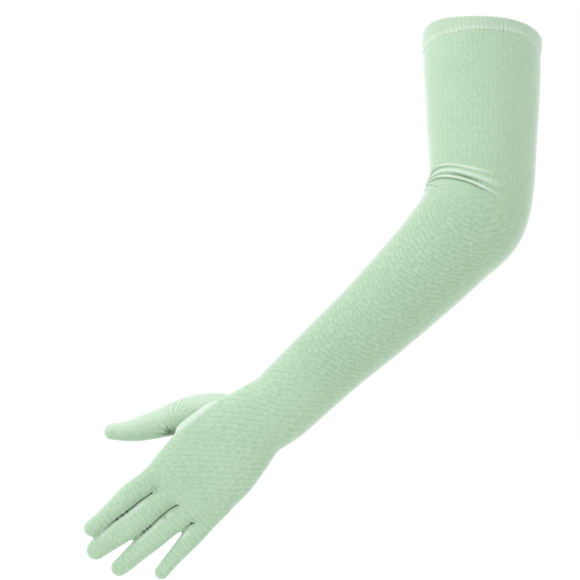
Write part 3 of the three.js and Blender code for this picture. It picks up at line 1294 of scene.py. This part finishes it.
@dataclass(frozen=True)
class TulleFinish:
    """Fine stretch tulle: faint streaks that follow the cloth, over a small net."""

    name: str = "mint_tulle"
    light: tuple[float, float, float, float] = paint(169, 196, 169)
    dark: tuple[float, float, float, float] = paint(147, 176, 147)
    # The colour of the painted highlights on crests, rolls, lit sides and the thumb
    highlight_paint: tuple[float, float, float, float] = paint(201, 213, 203)
    # The colour of the painted shade in creases, slits and the thumb's crotch
    shade_paint: tuple[float, float, float, float] = paint(52, 78, 54)
    streak: float = 0.0012
    streak_length: float = 0.0042
    net: float = 0.0013
    roughness: float = 0.82
    sheen: float = 1.0
    sheen_roughness: float = 0.42
    sheen_tint: tuple[float, float, float, float] = (0.97, 1.0, 0.99, 1.0)

    # Where the cloth changes over from one stretch of the sleeve to the next, in metres down it
    TO_FOREARM = (0.125, 0.17)
    TO_HAND = (0.31, 0.36)
    TO_FINGERS = (0.462, 0.485)

    def build(self) -> bpy.types.Material:
        """Returns the material."""
        shader = Shader(self.name)
        uv = shader.node("ShaderNodeUVMap", {"uv_map": "weave"})
        u, v = (shader.node("ShaderNodeSeparateXYZ", None, {"Vector": uv}, axis) for axis in (0, 1))
        drift = (shader.noise(uv, 55.0, 2.0, 0.5) - 0.5) * 0.0045

        upright = self.streaks(shader, u + drift, v)
        arcs = self.streaks(shader, v + 9.0 * (u + 0.012) * (u + 0.012) + drift * 1.4, u)
        slant = self.streaks(shader, (u * 0.67 + v * 0.74) + drift, (v * 0.67 - u * 0.74))
        ribs = self.streaks(shader, v - u * 0.2 + drift, u)

        forearm, hand, fingers = (
            v.ramp(*border) for border in (self.TO_FOREARM, self.TO_HAND, self.TO_FINGERS)
        )
        pattern = (upright * 0.64 + 0.18) * (1 - forearm) + (arcs * 1.4 - 0.2) * forearm * (1 - hand)
        pattern = pattern + slant * hand * (1 - fingers) + (ribs * 0.9 + 0.05) * fingers
        cloud = shader.noise(uv, 18.0, 3.0, 0.55)
        speck = shader.noise(uv, 420.0, 2.0, 0.6)
        # The weave's mottling, less a painted shade that darkens the forearm
        tone = pattern * 0.42 + cloud * 0.24 + speck * 0.34 - forearm * (1 - hand) * 0.1
        colour = shader.blend(self.dark, self.light, tone.ramp(0.2, 0.78))
        # Painted highlights and painted shade from the tone layer, mixed into the colour
        painted_light = shader.node("ShaderNodeAttribute", {"attribute_name": "tone"}, None, "Fac")
        colour = shader.blend(colour, self.highlight_paint, painted_light.ramp(0.0, 1.0))
        colour = shader.blend(colour, self.shade_paint, (painted_light * -1.0).ramp(0.0, 1.0))

        turns = math.pi / self.net
        net = (((u + v) * turns).sine() * ((u - v) * turns).sine()).abs()
        height = pattern * 0.5 + net * 0.2
        bump = shader.node("ShaderNodeBump", None, {"Strength": 0.22, "Distance": 0.0006, "Height": height})
        surface = shader.node(
            "ShaderNodeBsdfPrincipled",
            None,
            {
                "Base Color": colour,
                "Roughness": self.roughness,
                "Sheen Weight": self.sheen,
                "Sheen Roughness": self.sheen_roughness,
                "Sheen Tint": self.sheen_tint,
                "Specular IOR Level": 0.3,
                "Normal": bump,
            },
        )
        return shader.close(surface)

    def streaks(self, shader: Shader, cross: Sock, down: Sock) -> Sock:
        """Makes fine broken lines.

        Args:
            shader: The shader that the nodes are added to.
            cross: The coordinate across the lines, in metres.
            down: The coordinate down them.

        Returns:
            How light the cloth is there, about 0 to 1.
        """
        spot = {0: cross / self.streak, 1: down / self.streak_length, 2: 0.0}
        place = shader.node("ShaderNodeCombineXYZ", None, spot)
        patch = shader.noise(place, 1.0, 1.0, 0.5)
        line = (cross * (0.55 * math.pi / self.streak) + patch * 6.0).sine()
        return patch.ramp(0.28, 0.72) * 0.65 + line * 0.15 + 0.175


@dataclass
class Studio:
    """The plain white floor, soft light and camera at the photograph's angle."""

    eye: tuple[float, float, float] = (-0.1566, -1.835, -0.2055)
    lens: float = 139.66
    floor_height: float = -0.56
    floor_size: float = 7.0

    def add_light(
        self, name: str, place: Sequence[float], aim: Sequence[float], size: float, power: float
    ) -> None:
        """Adds a soft light.

        Args:
            name: The light's name.
            place: Where it stands, in metres.
            aim: Where it points.
            size: How wide it is.
            power: Its power in watts.
        """
        data = bpy.data.lights.new(name, "AREA")
        data.shape = "DISK"
        data.size = size
        data.energy = power
        lamp = bpy.data.objects.new(name, data)
        way = Vector(aim) - Vector(place)
        turn = way.to_track_quat("-Z", "Y").to_matrix().to_4x4()
        lamp.matrix_world = Matrix.Translation(place) @ turn
        bpy.context.scene.collection.objects.link(lamp)

    def build(self) -> None:
        """Adds the floor, the world's light, the lamps and the camera."""
        scene = bpy.context.scene
        scene.view_settings.view_transform = "Standard"
        world = bpy.data.worlds.new("studio")
        world.use_nodes = True
        world.node_tree.nodes["Background"].inputs["Color"].default_value = (1, 1, 1, 1)
        world.node_tree.nodes["Background"].inputs["Strength"].default_value = 1.0
        scene.world = world

        bm = bmesh.new()
        bmesh.ops.create_grid(bm, x_segments=1, y_segments=1, size=self.floor_size / 2 / MM)
        bmesh.ops.translate(bm, vec=(0, 0, self.floor_height / MM), verts=bm.verts)
        floor = to_object(bm, "floor")
        shader = Shader("white_floor")
        grain = shader.node("ShaderNodeTexNoise", None, {"Scale": 3.0})
        colour = shader.blend((0.6, 0.6, 0.6, 1), (0.64, 0.64, 0.64, 1), grain)
        surface = shader.node(
            "ShaderNodeBsdfPrincipled",
            None,
            {
                "Base Color": colour,
                "Roughness": 0.9,
                "Emission Color": (1, 1, 1, 1),
                "Emission Strength": 0.42,
            },
        )
        floor.data.materials.append(shader.close(surface))
        floor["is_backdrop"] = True

        self.add_light("key", (-1.5, -1.9, 2.4), (-0.15, -0.03, -0.22), 1.8, 30)
        self.add_light("top", (-0.7, 0.0, 0.9), (-0.25, -0.02, -0.3), 0.8, 4)
        self.add_light("fill", (-0.8, -0.45, -0.1), (-0.28, -0.03, -0.4), 0.4, 0.6)

        camera_data = bpy.data.cameras.new("camera")
        camera_data.sensor_width = 36
        camera_data.lens = self.lens
        camera = bpy.data.objects.new("camera", camera_data)
        camera.location = self.eye
        camera.rotation_euler = (math.pi / 2, 0, 0)
        scene.collection.objects.link(camera)
        scene.camera = camera


def main() -> None:
    """Builds the glove's pieces, dresses them and sets the studio."""
    logging.basicConfig(level=logging.INFO, format="%(name)s: %(message)s")
    cad_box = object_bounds()

    tulle = TulleFinish().build()
    hem_tulle = TulleFinish("hem_tulle", light=paint(174, 196, 173), dark=paint(155, 179, 154)).build()

    skin = GloveSkin().build()
    log.info("skin: %d faces", len(skin.faces))
    hand = BVHTree.FromBMesh(skin)
    values = split_at_zero(skin, lambda point: LIMB.locate(point)[2], 0.12)
    skin.verts.index_update()
    by_index = {vert.index: value for vert, value in values.items()}

    back = Panel("back_panel_cloth", Side.BACK).build(skin, by_index)
    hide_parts("upper_arm_back", "forearm_back", "hand_back", "fingers_back")
    palm = Panel("palm_panel_cloth", Side.PALM).build(skin, by_index)
    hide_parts("upper_arm_palm", "forearm_palm", "hand_palm", "fingers_palm")
    for panel in (back, palm):
        panel.data.materials.append(tulle)
        log.info("%s: %d faces", panel.name, len(panel.data.polygons))
    skin.free()

    thumb = Thumb().build(hand)
    thumb.data.materials.append(tulle)
    log.info("%s: %d faces", thumb.name, len(thumb.data.polygons))

    band = HemBand().build()
    band.data.materials.append(hem_tulle)
    log.info("%s: %d faces", band.name, len(band.data.polygons))

    Studio().build()
    boxes = [[list(map(float, corner)) for corner in box] for box in (cad_box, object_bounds())]


if __name__ == "__main__":
    main()
